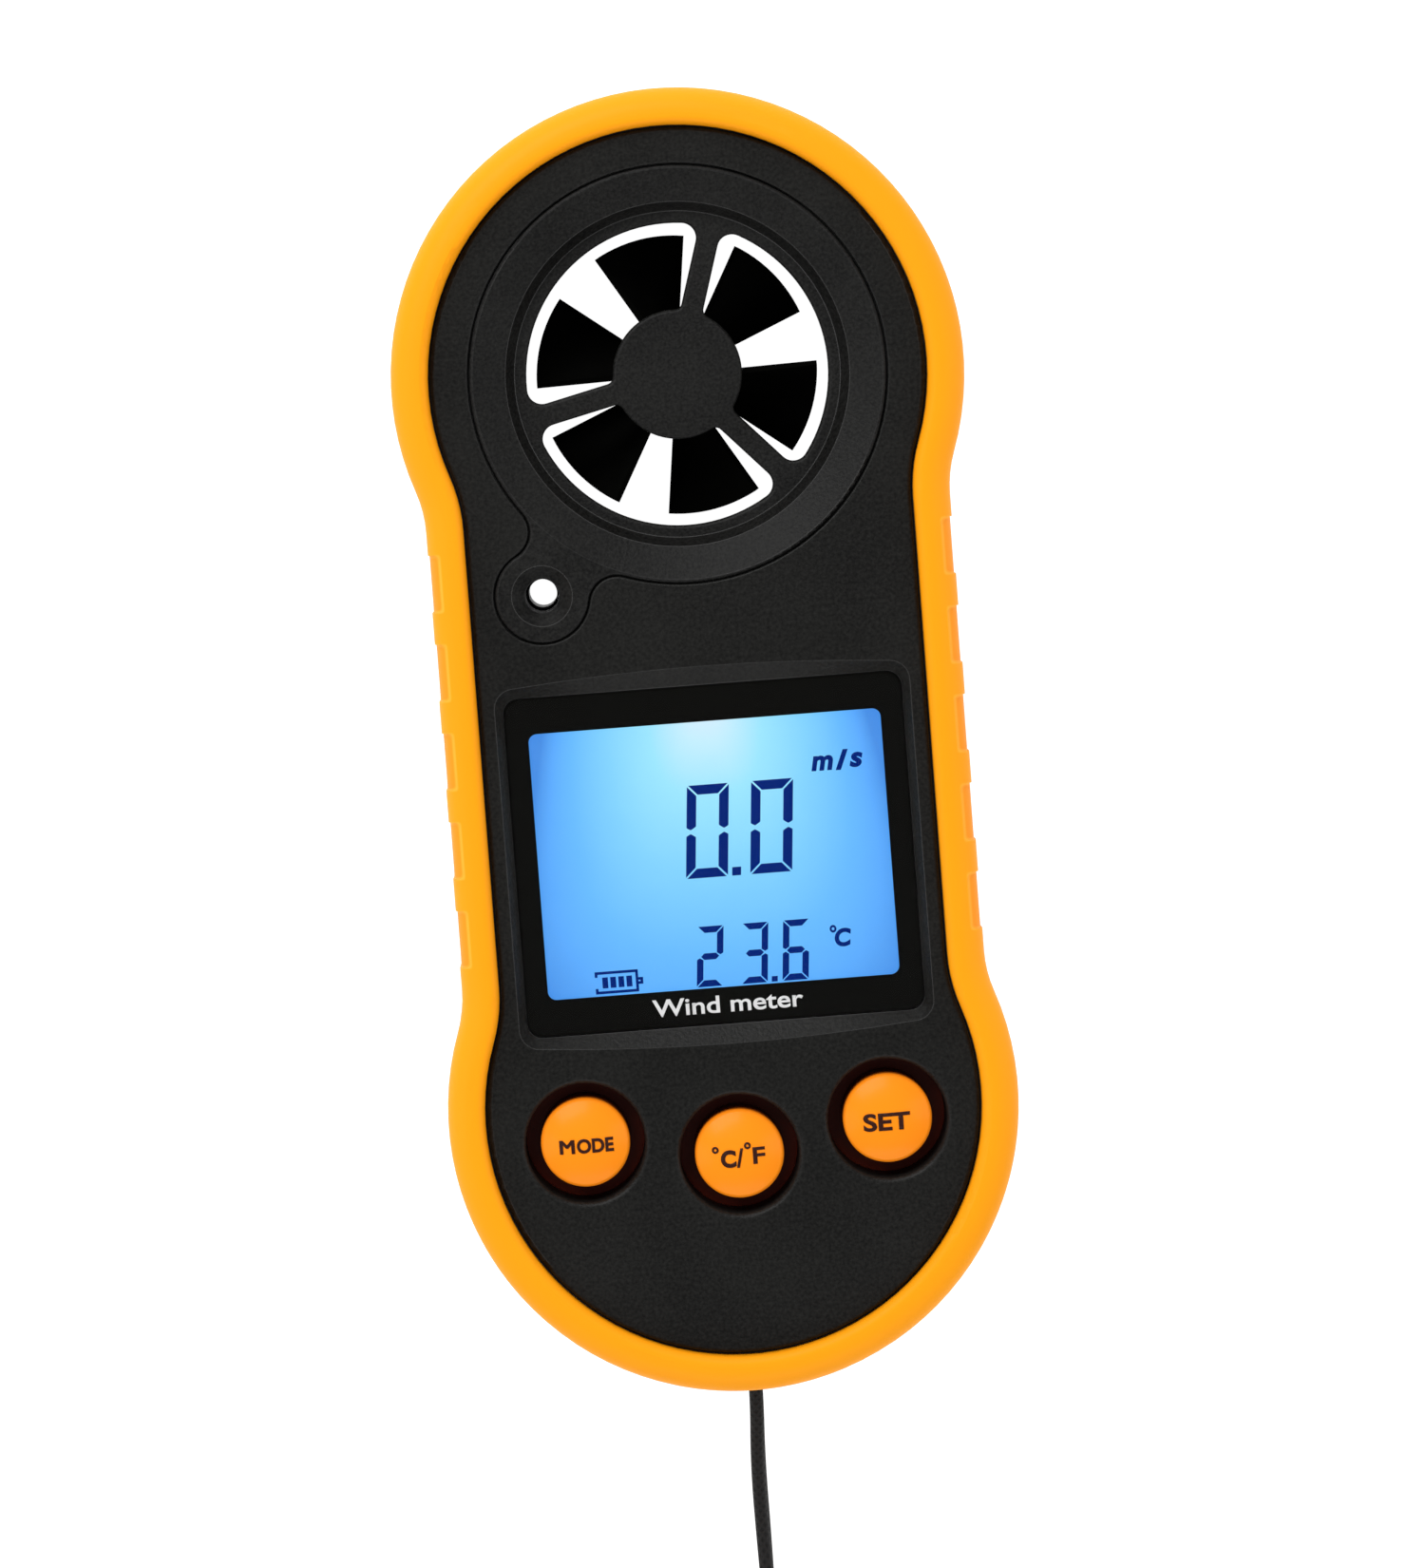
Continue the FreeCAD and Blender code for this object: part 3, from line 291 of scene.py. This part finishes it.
def clear(name, tint, rough, ior):
    """Clear plastic or glass with faint handling marks in its gloss."""
    s = Shader(name)
    marks = s.noise(1 / (6 * MM), detail=6.0, rough=0.7)
    s.rough(s.range(marks, rough * 0.5, rough * 1.5))
    s.colour(s.ramp(marks, [(0.3, shade(tint, 0.985)), (0.7, tint)]))
    s.set(transmission_weight=1.0, ior=ior)
    return s.material


def lit_display():
    """The back-lit cell: a pale glow under the lamp at the top that falls off to blue."""
    s = Shader("lit_display")
    spread_x = 12.5 * MM
    spread_y = 21.8 * MM
    edge_x = 14.8 * MM
    foot_y = 22 * MM
    tall = 24 * MM
    lamp = centre("backlight_lamp")
    split = s.node("SeparateXYZ")
    s.link(s.place, split.inputs["Vector"])
    x = s.math("MULTIPLY_ADD", split.outputs["X"], 1 / spread_x, -lamp.x / spread_x)
    y = s.math("MULTIPLY_ADD", split.outputs["Y"], 1 / spread_y, -lamp.y / spread_y)
    x_part = s.math("POWER", s.math("ABSOLUTE", x), 3.0)
    y_part = s.math("POWER", s.math("ABSOLUTE", y), 3.0)
    far = s.math("POWER", s.math("ADD", x_part, y_part), 1 / 3)
    across = s.math("ABSOLUTE", s.math("MULTIPLY", split.outputs["X"], 1 / edge_x))
    upward = s.math("MAXIMUM", s.math("MULTIPLY_ADD", split.outputs["Y"], 1 / tall, foot_y / tall), 0.0)
    side = s.math("MULTIPLY", s.math("POWER", across, 6.0), s.math("POWER", upward, 3.0))
    far = s.math("MULTIPLY_ADD", side, 0.85, far)
    grain = s.math("MULTIPLY_ADD", s.noise(1 / (2.5 * MM)), 0.03, -0.015)
    glow = s.ramp(s.math("MULTIPLY", s.math("ADD", far, grain), 0.7), [
        (0.0, (0.76, 0.86, 1.0)),
        (0.12, (0.55, 0.85, 0.99)),
        (0.26, (0.32, 0.78, 1.0)),
        (0.46, (0.21, 0.638, 0.99)),
        (0.68, (0.12, 0.48, 1.0)),
        (0.82, (0.093, 0.402, 0.98)),
        (1.0, (0.05, 0.26, 0.78)),
    ])
    s.link(glow, s.surface.inputs["Emission Color"])
    s.set(emission_strength=1.0, base_color=(0.01, 0.02, 0.03, 1), roughness=0.3)
    return s.material


def braid(name, turns, colour):
    """Round braided cord: two crossing families of plaited yarns along the cord's own length."""
    s = Shader(name)
    split = s.node("SeparateXYZ")
    s.link(s.node("TexCoord").outputs["UV"], split.inputs["Vector"])
    along = s.math("MULTIPLY", split.outputs["X"], turns)
    around = s.math("MULTIPLY", split.outputs["Y"], 6.0)
    yarns = []
    for sign in (1, -1):
        phase = s.math("MULTIPLY_ADD", around, float(sign), along)
        yarns.append(s.math("ABSOLUTE", s.math("SINE", s.math("MULTIPLY", phase, math.pi))))
    weave = s.math("MAXIMUM", yarns[0], yarns[1])
    fuzz = s.noise(1 / (0.08 * MM), detail=3.0)
    height = s.math("MULTIPLY_ADD", fuzz, 0.25, weave)
    # Painted light: the yarn crowns are painted lighter and the grooves between the yarns darker, a
    # painted highlight and painted shade on one dark yarn.
    s.colour(s.ramp(weave, [(0.6, shade(colour, 0.2)), (0.95, shade(colour, 2.0))]))
    s.rough(s.range(fuzz, 0.6, 0.85))
    s.bump(height, 0.09 * MM)
    s.set(specular_ior_level=0.3)
    return s.material


def board_finish():
    """Green solder mask over faint copper runs, with bare pads."""
    s = Shader("board_green")
    split = s.node("SeparateXYZ")
    s.link(s.place, split.inputs["Vector"])
    run = s.node("TexBrick")
    run.inputs["Scale"].default_value = 1 / (5 * MM)
    run.inputs["Mortar Size"].default_value = 0.03
    run.inputs["Color1"].default_value = (0.012, 0.12, 0.035, 1)
    run.inputs["Color2"].default_value = (0.016, 0.15, 0.045, 1)
    run.inputs["Mortar"].default_value = (0.05, 0.26, 0.08, 1)
    s.link(s.place, run.inputs["Vector"])
    s.colour(run.outputs["Color"])
    s.rough(s.range(s.noise(1 / (1.5 * MM)), 0.25, 0.4))
    s.bump(run.outputs["Fac"], 0.01 * MM)
    return s.material


def ink(name, colour, rough=0.5, **values):
    """Printed ink, a little uneven in its cover."""
    s = Shader(name)
    cover = s.noise(1 / (0.15 * MM), detail=3.0)
    s.colour(s.ramp(cover, [(0.3, shade(colour, 0.85)), (0.7, colour)]))
    s.rough(s.range(cover, rough * 0.8, rough * 1.2))
    s.set(**values)
    return s.material


FINISHES = {
    "bumper_rubber": bumper_finish(),
    "case_plastic": moulded(
        "case_plastic", (0.0082, 0.0082, 0.0076), 0.4, grain=0.28, depth=0.05, mottle=0.55, edge=0.065,
        specular_ior_level=0.13
    ),
    "guard_plastic": moulded(
        "guard_plastic", (0.0064, 0.0064, 0.006), 0.5, grain=0.24, depth=0.05, mottle=0.9, edge=0.09,
        specular_ior_level=0.15
    ),
    "impeller_plastic": moulded(
        "impeller_plastic", (0.0025, 0.0025, 0.0022), 0.3, grain=1.5, depth=0.001, specular_ior_level=0.0
    ),
    "button_plastic": button_finish(),
    "lens_clear": clear("lens_clear", (1.0, 1.0, 1.0), 0.02, 1.16),
    # The black mask's faint glow is painted light, standing in for the light that reaches it through the
    # lens.
    "mask_ink": moulded(
        "mask_ink", (0.005, 0.005, 0.0045), 0.35, grain=2.0, depth=0.0005, specular_ior_level=0.1,
        emission_color=(0.0036, 0.0036, 0.0032, 1), emission_strength=1.0
    ),
    "lcd_cell": lit_display(),
    "guide_clear": clear("guide_clear", (0.95, 0.98, 1.0), 0.08, 1.49),
    "frame_plastic": moulded("frame_plastic", (0.7, 0.7, 0.67), 0.45, grain=0.3, depth=0.003, mottle=0.04),
    "lamp_white": moulded("lamp_white", (0.85, 0.85, 0.78), 0.35, grain=0.4, depth=0.002, mottle=0.04),
    "strip_rubber": moulded("strip_rubber", (0.55, 0.33, 0.38), 0.6, grain=0.1, depth=0.01, mottle=0.3),
    "board_green": board_finish(),
    "chip_black": moulded("chip_black", (0.02, 0.02, 0.021), 0.5, grain=0.12, depth=0.004),
    "steel": metal("steel", (0.56, 0.56, 0.57), 0.28),
    "spring_brass": metal("spring_brass", (0.75, 0.58, 0.26), 0.25),
    "jewel_red": clear("jewel_red", (0.6, 0.03, 0.07), 0.03, 1.76),
    "sensor_glass": clear("sensor_glass", (0.45, 0.2, 0.08), 0.05, 1.5),
    "gasket_rubber": moulded("gasket_rubber", (0.012, 0.012, 0.012), 0.6, grain=0.2, depth=0.003),
    "cell_steel": metal("cell_steel", (0.66, 0.66, 0.67), 0.2, stretch=(1, 1, 1)),
    "crimp_black": moulded("crimp_black", (0.012, 0.012, 0.013), 0.35, grain=0.3, depth=0.003),
}
THIN_BRAID = braid("thin_braid", 70.0, (0.004, 0.0035, 0.0035))
WRIST_BRAID = braid("wrist_braid", 330.0, (0.008, 0.008, 0.0085))
NAVY = ink(
    "segment_navy", (0.001, 0.003, 0.02), 0.5,
    specular_ior_level=0.0, emission_color=(0.0, 0.014, 0.16, 1), emission_strength=1.0
)
# The legend's white ink glows: painted light standing in for the light that reaches it through the lens.
WHITE_INK = ink(
    "white_ink", (0.3, 0.3, 0.3), 0.5,
    specular_ior_level=0.1, emission_color=(0.5, 0.5, 0.5, 1), emission_strength=1.0
)
BROWN_INK = ink("brown_ink", (0.03, 0.004, 0.001), 0.45, specular_ior_level=0.2)


def put(obj, material):
    """Gives an object one material."""
    obj.data.materials.clear()
    obj.data.materials.append(material)
    return obj


def finish_nodes():
    """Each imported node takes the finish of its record's slot."""
    for row in frame["record"]["subparts"]:
        finish = FINISHES.get(row["material_slot"])
        if finish:
            node = nodes[row["node"]]
            for held in node.material_slots:
                held.material = finish


finish_nodes()


# ---- cords -------------------------------------------------------------------------------
def cord_curve(name, route, diameter, material):
    """A cord on one smooth spline whose control points are the route's, in metres."""
    data = bpy.data.curves.new(name, "CURVE")
    data.dimensions = "3D"
    spline = data.splines.new("NURBS")
    spline.points.add(len(route) - 1)
    for point, place in zip(spline.points, route):
        point.co = (*place, 1)
    spline.order_u = 3
    spline.use_endpoint_u = True
    spline.resolution_u = 12
    data.bevel_depth = diameter / 2
    data.bevel_resolution = 6
    data.use_fill_caps = True
    cord = bpy.data.objects.new(name, data)
    scene.collection.objects.link(cord)
    return put(cord, material)


LOOP_ROUTE = (
    (0.0, -0.0720, 0.00265),
    (-0.0001, -0.0670, 0.00295),
    (-0.00015, -0.0606, 0.0043),
    (0.00025, -0.0544, 0.0062),
    (0.0001, -0.0487, 0.0063),
    (0.0001, -0.0487, 0.0025),
    (0.0003, -0.0542, 0.0024),
    (0.0, -0.0606, 0.00185),
    (0.00005, -0.0670, 0.0012),
    (0.0, -0.0720, 0.00125),
)
WRIST_ROUTE = (
    (-0.0012, -0.0790, 0.0019),
    (-0.0013, -0.0832, 0.0016),
    (-0.0062, -0.0878, 0.0012),
    (-0.0080, -0.0945, 0.0011),
    (-0.0048, -0.1010, 0.0012),
    (-0.0035, -0.1055, 0.0015),
    (-0.0035, -0.1085, 0.0015),
    (-0.0060, -0.1130, 0.0012),
    (-0.0090, -0.1190, 0.0011),
    (-0.0090, -0.1248, 0.0011),
    (-0.0038, -0.1300, 0.0011),
    (0.0038, -0.1300, 0.0011),
    (0.0090, -0.1248, 0.0011),
    (0.0090, -0.1190, 0.0011),
    (0.0060, -0.1130, 0.0012),
    (0.0035, -0.1085, 0.0015),
    (0.0035, -0.1055, 0.0015),
    (0.0052, -0.1005, 0.0012),
    (0.0074, -0.0960, 0.0014),
    (0.0076, -0.0905, 0.0024),
    (0.0038, -0.0864, 0.0035),
    (-0.0014, -0.0864, 0.0035),
    (-0.0054, -0.0905, 0.0022),
    (-0.0052, -0.0960, 0.0012),
    (-0.0024, -0.1005, 0.0011),
    (-0.0012, -0.1055, 0.0015),
    (-0.0012, -0.1085, 0.0015),
    (-0.0034, -0.1130, 0.0012),
    (-0.0066, -0.1180, 0.0011),
    (-0.0066, -0.1237, 0.0011),
    (-0.0027, -0.1276, 0.0011),
    (0.0027, -0.1276, 0.0011),
    (0.0066, -0.1237, 0.0011),
    (0.0066, -0.1180, 0.0011),
    (0.0034, -0.1130, 0.0012),
    (0.0012, -0.1085, 0.0015),
    (0.0012, -0.1055, 0.0015),
    (0.0020, -0.0990, 0.0011),
    (0.0020, -0.0920, 0.0011),
    (0.0016, -0.0850, 0.0012),
    (0.0012, -0.0790, 0.0019),
)


def make_cords():
    """The thin loop through the case's bar and the wrist cord's tied hank."""
    loop = cord_curve("lanyard_loop_cord", LOOP_ROUTE, 1.15 * MM, THIN_BRAID)
    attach(loop, "housing")
    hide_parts("lanyard_loop")
    wrist = cord_curve("wrist_cord", WRIST_ROUTE, 2.2 * MM, WRIST_BRAID)
    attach(wrist, "housing")
    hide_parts("wrist_cord_hank")


make_cords()


# ---- flat printed shapes -----------------------------------------------------------------
def flat_piece(name, outlines, z, thickness, material, body="housing"):
    """Thin prisms over flat outlines, all in one piece."""
    mesh = bmesh.new()
    for outline in outlines:
        base = mesh.faces.new([mesh.verts.new((x * MM, y * MM, z)) for x, y in outline])
        made = bmesh.ops.extrude_face_region(mesh, geom=[base])
        for v in made["geom"]:
            if isinstance(v, bmesh.types.BMVert):
                v.co.z += thickness
    bmesh.ops.recalc_face_normals(mesh, faces=mesh.faces)
    data = bpy.data.meshes.new(name)
    mesh.to_mesh(data)
    mesh.free()
    piece = bpy.data.objects.new(name, data)
    scene.collection.objects.link(piece)
    put(piece, material)
    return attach(piece, body)


LIT = {"0": "abcdef", "2": "abged", "3": "abgcd", "6": "acdefg"}


def digit(character, left, bottom, width, height, stroke, slant):
    """A seven-segment digit's lit outlines."""
    gap = stroke * 0.13
    half = height / 2
    w, h, t = width, height, stroke
    shapes = {
        "a": [(gap, h), (w - gap, h), (w - t - gap, h - t), (t + gap, h - t)],
        "f": [
            (0, h - gap),
            (t, h - t - gap),
            (t, half + t * 0.55),
            (t * 0.45, half + gap * 1.5),
            (0, half + t * 0.45),
        ],
        "g": [
            (t * 0.5 + gap, half),
            (t + gap, half + t / 2),
            (w - t - gap, half + t / 2),
            (w - t * 0.5 - gap, half),
            (w - t - gap, half - t / 2),
            (t + gap, half - t / 2),
        ],
    }
    shapes["d"] = [(x, h - y) for x, y in shapes["a"]]
    shapes["e"] = [(x, h - y) for x, y in shapes["f"]]
    shapes["b"] = [(w - x, y) for x, y in shapes["f"]]
    shapes["c"] = [(w - x, h - y) for x, y in shapes["f"]]
    outlines = []
    for key in LIT[character]:
        outlines.append([(left + x + y * slant, bottom + y) for x, y in shapes[key]])
    return outlines


def bar(x0, x1, y0, y1, slant=0.0):
    """A rectangle's outline, leaning to the right by slant."""
    lean = (y1 - y0) * slant
    return [(x0, y0), (x1, y0), (x1 + lean, y1), (x0 + lean, y1)]


def display_segments():
    """The reading, the temperature and the battery sign."""
    slant = 0.085
    outlines = []
    for left in (-2.4, 2.8):
        outlines += digit("0", left, -11.0, 3.39, 7.5, 0.77, slant)
    outlines.append(bar(1.33, 2.05, -11.0, -10.32, slant))
    for character, left in (("2", -2.2), ("3", 1.42), ("6", 4.74)):
        outlines += digit(character, left, -19.8, 2.12, 4.87, 0.52, slant)
    outlines.append(bar(3.87, 4.35, -19.8, -19.36, slant))
    line = 0.22
    left, right, low, high = -10.35, -6.85, -19.75, -17.95
    outlines += [
        bar(left, right, low, low + line),
        bar(left, right, high - line, high),
        bar(right - line, right, low, high),
        bar(left, left + line, high - 0.45, high),
        bar(left, left + line, low, low + 0.45),
        bar(right, right + 0.38, -19.15, -19.15 + line),
        bar(right, right + 0.38, -18.6 - line, -18.6),
        bar(right + 0.38 - line, right + 0.38, -19.15, -18.6),
    ]
    for i in range(4):
        x = -9.75 + i * 0.65
        outlines.append(bar(x - 0.02, x + 0.44, -19.3, -18.42))
    return flat_piece("display_segments", outlines, LCD_TOP + 0.01 * MM, 0.02 * MM, NAVY)


def lettering(name, words, spot, z, material, body="housing", weight=0.02, shear=0.0, thickness=0.02):
    """Words as a thin mesh that fills spot, (x0, x1, y0, y1) in millimetres."""
    data = bpy.data.curves.new(name, "FONT")
    data.body = words
    data.offset = weight
    data.shear = shear
    data.resolution_u = 5
    words_object = bpy.data.objects.new(name + "_words", data)
    scene.collection.objects.link(words_object)
    bpy.context.view_layer.update()
    shaped = words_object.evaluated_get(bpy.context.evaluated_depsgraph_get())
    mesh = bpy.data.meshes.new_from_object(shaped)
    bpy.data.objects.remove(words_object)
    xs = [v.co.x for v in mesh.vertices]
    ys = [v.co.y for v in mesh.vertices]
    x0, x1, y0, y1 = spot
    scale_x = (x1 - x0) / (max(xs) - min(xs)) * MM
    scale_y = (y1 - y0) / (max(ys) - min(ys)) * MM
    for v in mesh.vertices:
        v.co.x = x0 * MM + (v.co.x - min(xs)) * scale_x
        v.co.y = y0 * MM + (v.co.y - min(ys)) * scale_y
        v.co.z = z
    work = bmesh.new()
    work.from_mesh(mesh)
    bmesh.ops.triangulate(work, faces=work.faces)
    longest = 0.3 * MM
    for _ in range(3):
        long_edges = [e for e in work.edges if e.calc_length() > longest]
        bmesh.ops.subdivide_edges(work, edges=long_edges, cuts=1)
        bmesh.ops.triangulate(work, faces=work.faces)
    made = bmesh.ops.extrude_face_region(work, geom=work.faces[:])
    for v in made["geom"]:
        if isinstance(v, bmesh.types.BMVert):
            v.co.z += thickness * MM
    bmesh.ops.recalc_face_normals(work, faces=work.faces)
    work.to_mesh(mesh)
    work.free()
    mesh.name = name
    piece = bpy.data.objects.new(name, mesh)
    scene.collection.objects.link(piece)
    put(piece, material)
    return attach(piece, body)


def display_words():
    """The units beside the digits and the legend under the display."""
    z = LCD_TOP + 0.01 * MM
    lettering("speed_m", "m", (8.35, 10.15, -3.1, -1.88), z, NAVY, shear=0.2, weight=0.04)
    lettering("speed_slash", "/", (10.3, 11.4, -3.15, -1.5), z, NAVY, weight=0.03)
    lettering("speed_s", "s", (11.45, 12.55, -3.02, -1.8), z, NAVY, shear=0.2, weight=0.04)
    lettering("degree_sign", "°", (8.85, 9.4, -16.22, -15.6), z, NAVY, weight=0.02)
    lettering("celsius", "C", (9.2, 10.55, -17.4, -15.9), z, NAVY, shear=0.12, weight=0.045)
    legend_z = MASK_TOP + 0.005 * MM
    spot = (-5.9, 6.28, -21.88, -20.48)
    lettering("display_legend", "Wind meter", spot, legend_z, WHITE_INK, weight=0.016)


def button_legends():
    """Each button's legend, laid on its dome."""
    legends = {
        "mode": [
            ("M", (-14.22, -13.1, -32.17, -31.05), 0.0),
            ("M", (-14.1, -12.98, -32.17, -31.05), 0.0),
            ("ODE", (-12.82, -9.85, -32.2, -31.02), 0.036),
        ],
        "unit": [
            ("C", (-1.35, -0.12, -34.27, -32.83), 0.045),
            ("/", (-0.1, 0.5, -34.3, -32.75), 0.03),
            ("F", (1.25, 2.24, -34.1, -32.75), 0.022),
            ("°", (-2.02, -1.47, -33.05, -32.5), 0.02),
            ("°", (0.58, 1.13, -32.85, -32.3), 0.02),
        ],
        "set": [("SET", (10.3, 14.1, -32.25, -30.8), 0.03)],
    }
    cap_r = 3.6 * MM
    rise = 1.0 * MM
    dome_r = (cap_r**2 + rise**2) / (2 * rise)
    for key, words_and_spots in legends.items():
        node = key + "_button"
        low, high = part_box(node)
        middle = (low + high) / 2
        for i, (words, spot, weight) in enumerate(words_and_spots):
            name = "%s_legend_%d" % (key, i + 1)
            piece = lettering(name, words, spot, 0, BROWN_INK, body=node, weight=weight, thickness=0.09)
            for v in piece.data.vertices:
                out = math.hypot(v.co.x - middle.x, v.co.y - middle.y)
                v.co.z += high.z - dome_r + math.sqrt(dome_r**2 - out**2) - 0.04 * MM


display_segments()
display_words()
button_legends()


# ---- stage -------------------------------------------------------------------------------
def floor():
    """A plain pale light table, bright enough to show through the air windows."""
    half = 1.5
    z = -0.02 * MM
    mesh = bpy.data.meshes.new("floor")
    corners = [(-half, -half, z), (half, -half, z), (half, half, z), (-half, half, z)]
    mesh.from_pydata(corners, [], [(0, 1, 2, 3)])
    piece = bpy.data.objects.new("floor", mesh)
    scene.collection.objects.link(piece)
    s = Shader("floor_white")
    grain = s.noise(1 / (1.2 * MM), detail=3.0)
    s.colour(s.ramp(grain, [(0.3, (0.3, 0.3, 0.3)), (0.7, (0.34, 0.34, 0.34))]))
    s.rough(s.range(grain, 0.75, 0.9))
    s.set(emission_color=(1, 1, 1, 1), emission_strength=1.0)
    put(piece, s.material)


def softbox(name, place, size, power):
    """A soft rectangular light aimed at the meter."""
    data = bpy.data.lights.new(name, "AREA")
    data.shape = "RECTANGLE"
    data.size, data.size_y = size
    data.energy = power
    lamp = bpy.data.objects.new(name, data)
    scene.collection.objects.link(lamp)
    lamp.location = place
    lamp.rotation_mode = "QUATERNION"
    lamp.rotation_quaternion = Vector(place).to_track_quat("Z", "Y")


def studio():
    """A key light beyond the head's left, with soft fill all round under a dim sky."""
    world = bpy.data.worlds.new("sky")
    scene.world = world
    world.use_nodes = True
    world.node_tree.nodes["Background"].inputs["Color"].default_value = (0.42, 0.42, 0.42, 1)
    softbox("key_light", (-0.2, 0.45, 0.5), (0.5, 0.3), 3.4)
    softbox("low_light", (0.0, 0.75, 0.14), (1.0, 0.18), 0.9)
    softbox("left_light", (-0.6, -0.1, 0.35), (0.3, 0.6), 1.0)
    softbox("right_light", (0.6, 0.0, 0.35), (0.3, 0.7), 1.3)
    softbox("foot_light", (0.0, -0.6, 0.35), (0.7, 0.25), 1.5)


floor()
studio()
